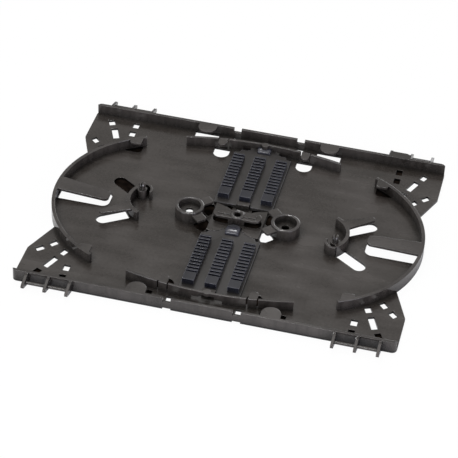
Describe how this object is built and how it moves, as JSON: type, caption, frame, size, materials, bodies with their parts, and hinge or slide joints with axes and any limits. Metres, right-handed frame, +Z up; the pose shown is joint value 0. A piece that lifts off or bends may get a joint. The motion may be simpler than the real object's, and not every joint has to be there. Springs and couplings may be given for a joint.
{
  "type": "fibre splice tray",
  "caption": "Flat moulded optical fibre splice tray with curved guide walls, retaining tabs, hinge lugs, spools and clipped-in combed splice holders.",
  "frame": {"origin": "centre of the tray on its flat underside", "axes": "+X along the long walls, +Y towards the rear wall, +Z up out of the open side"},
  "size_m": [0.1858, 0.1582, 0.01],
  "materials": {
    "tray_plastic": "satin moulded, charcoal grey",
    "holder_plastic": "satin moulded, blue grey"
  },
  "bodies": {
    "root": {"tray_moulding": "tray_plastic", "splice_holder_rear": "holder_plastic", "splice_holder_front": "holder_plastic"}
  },
  "joints": []
}
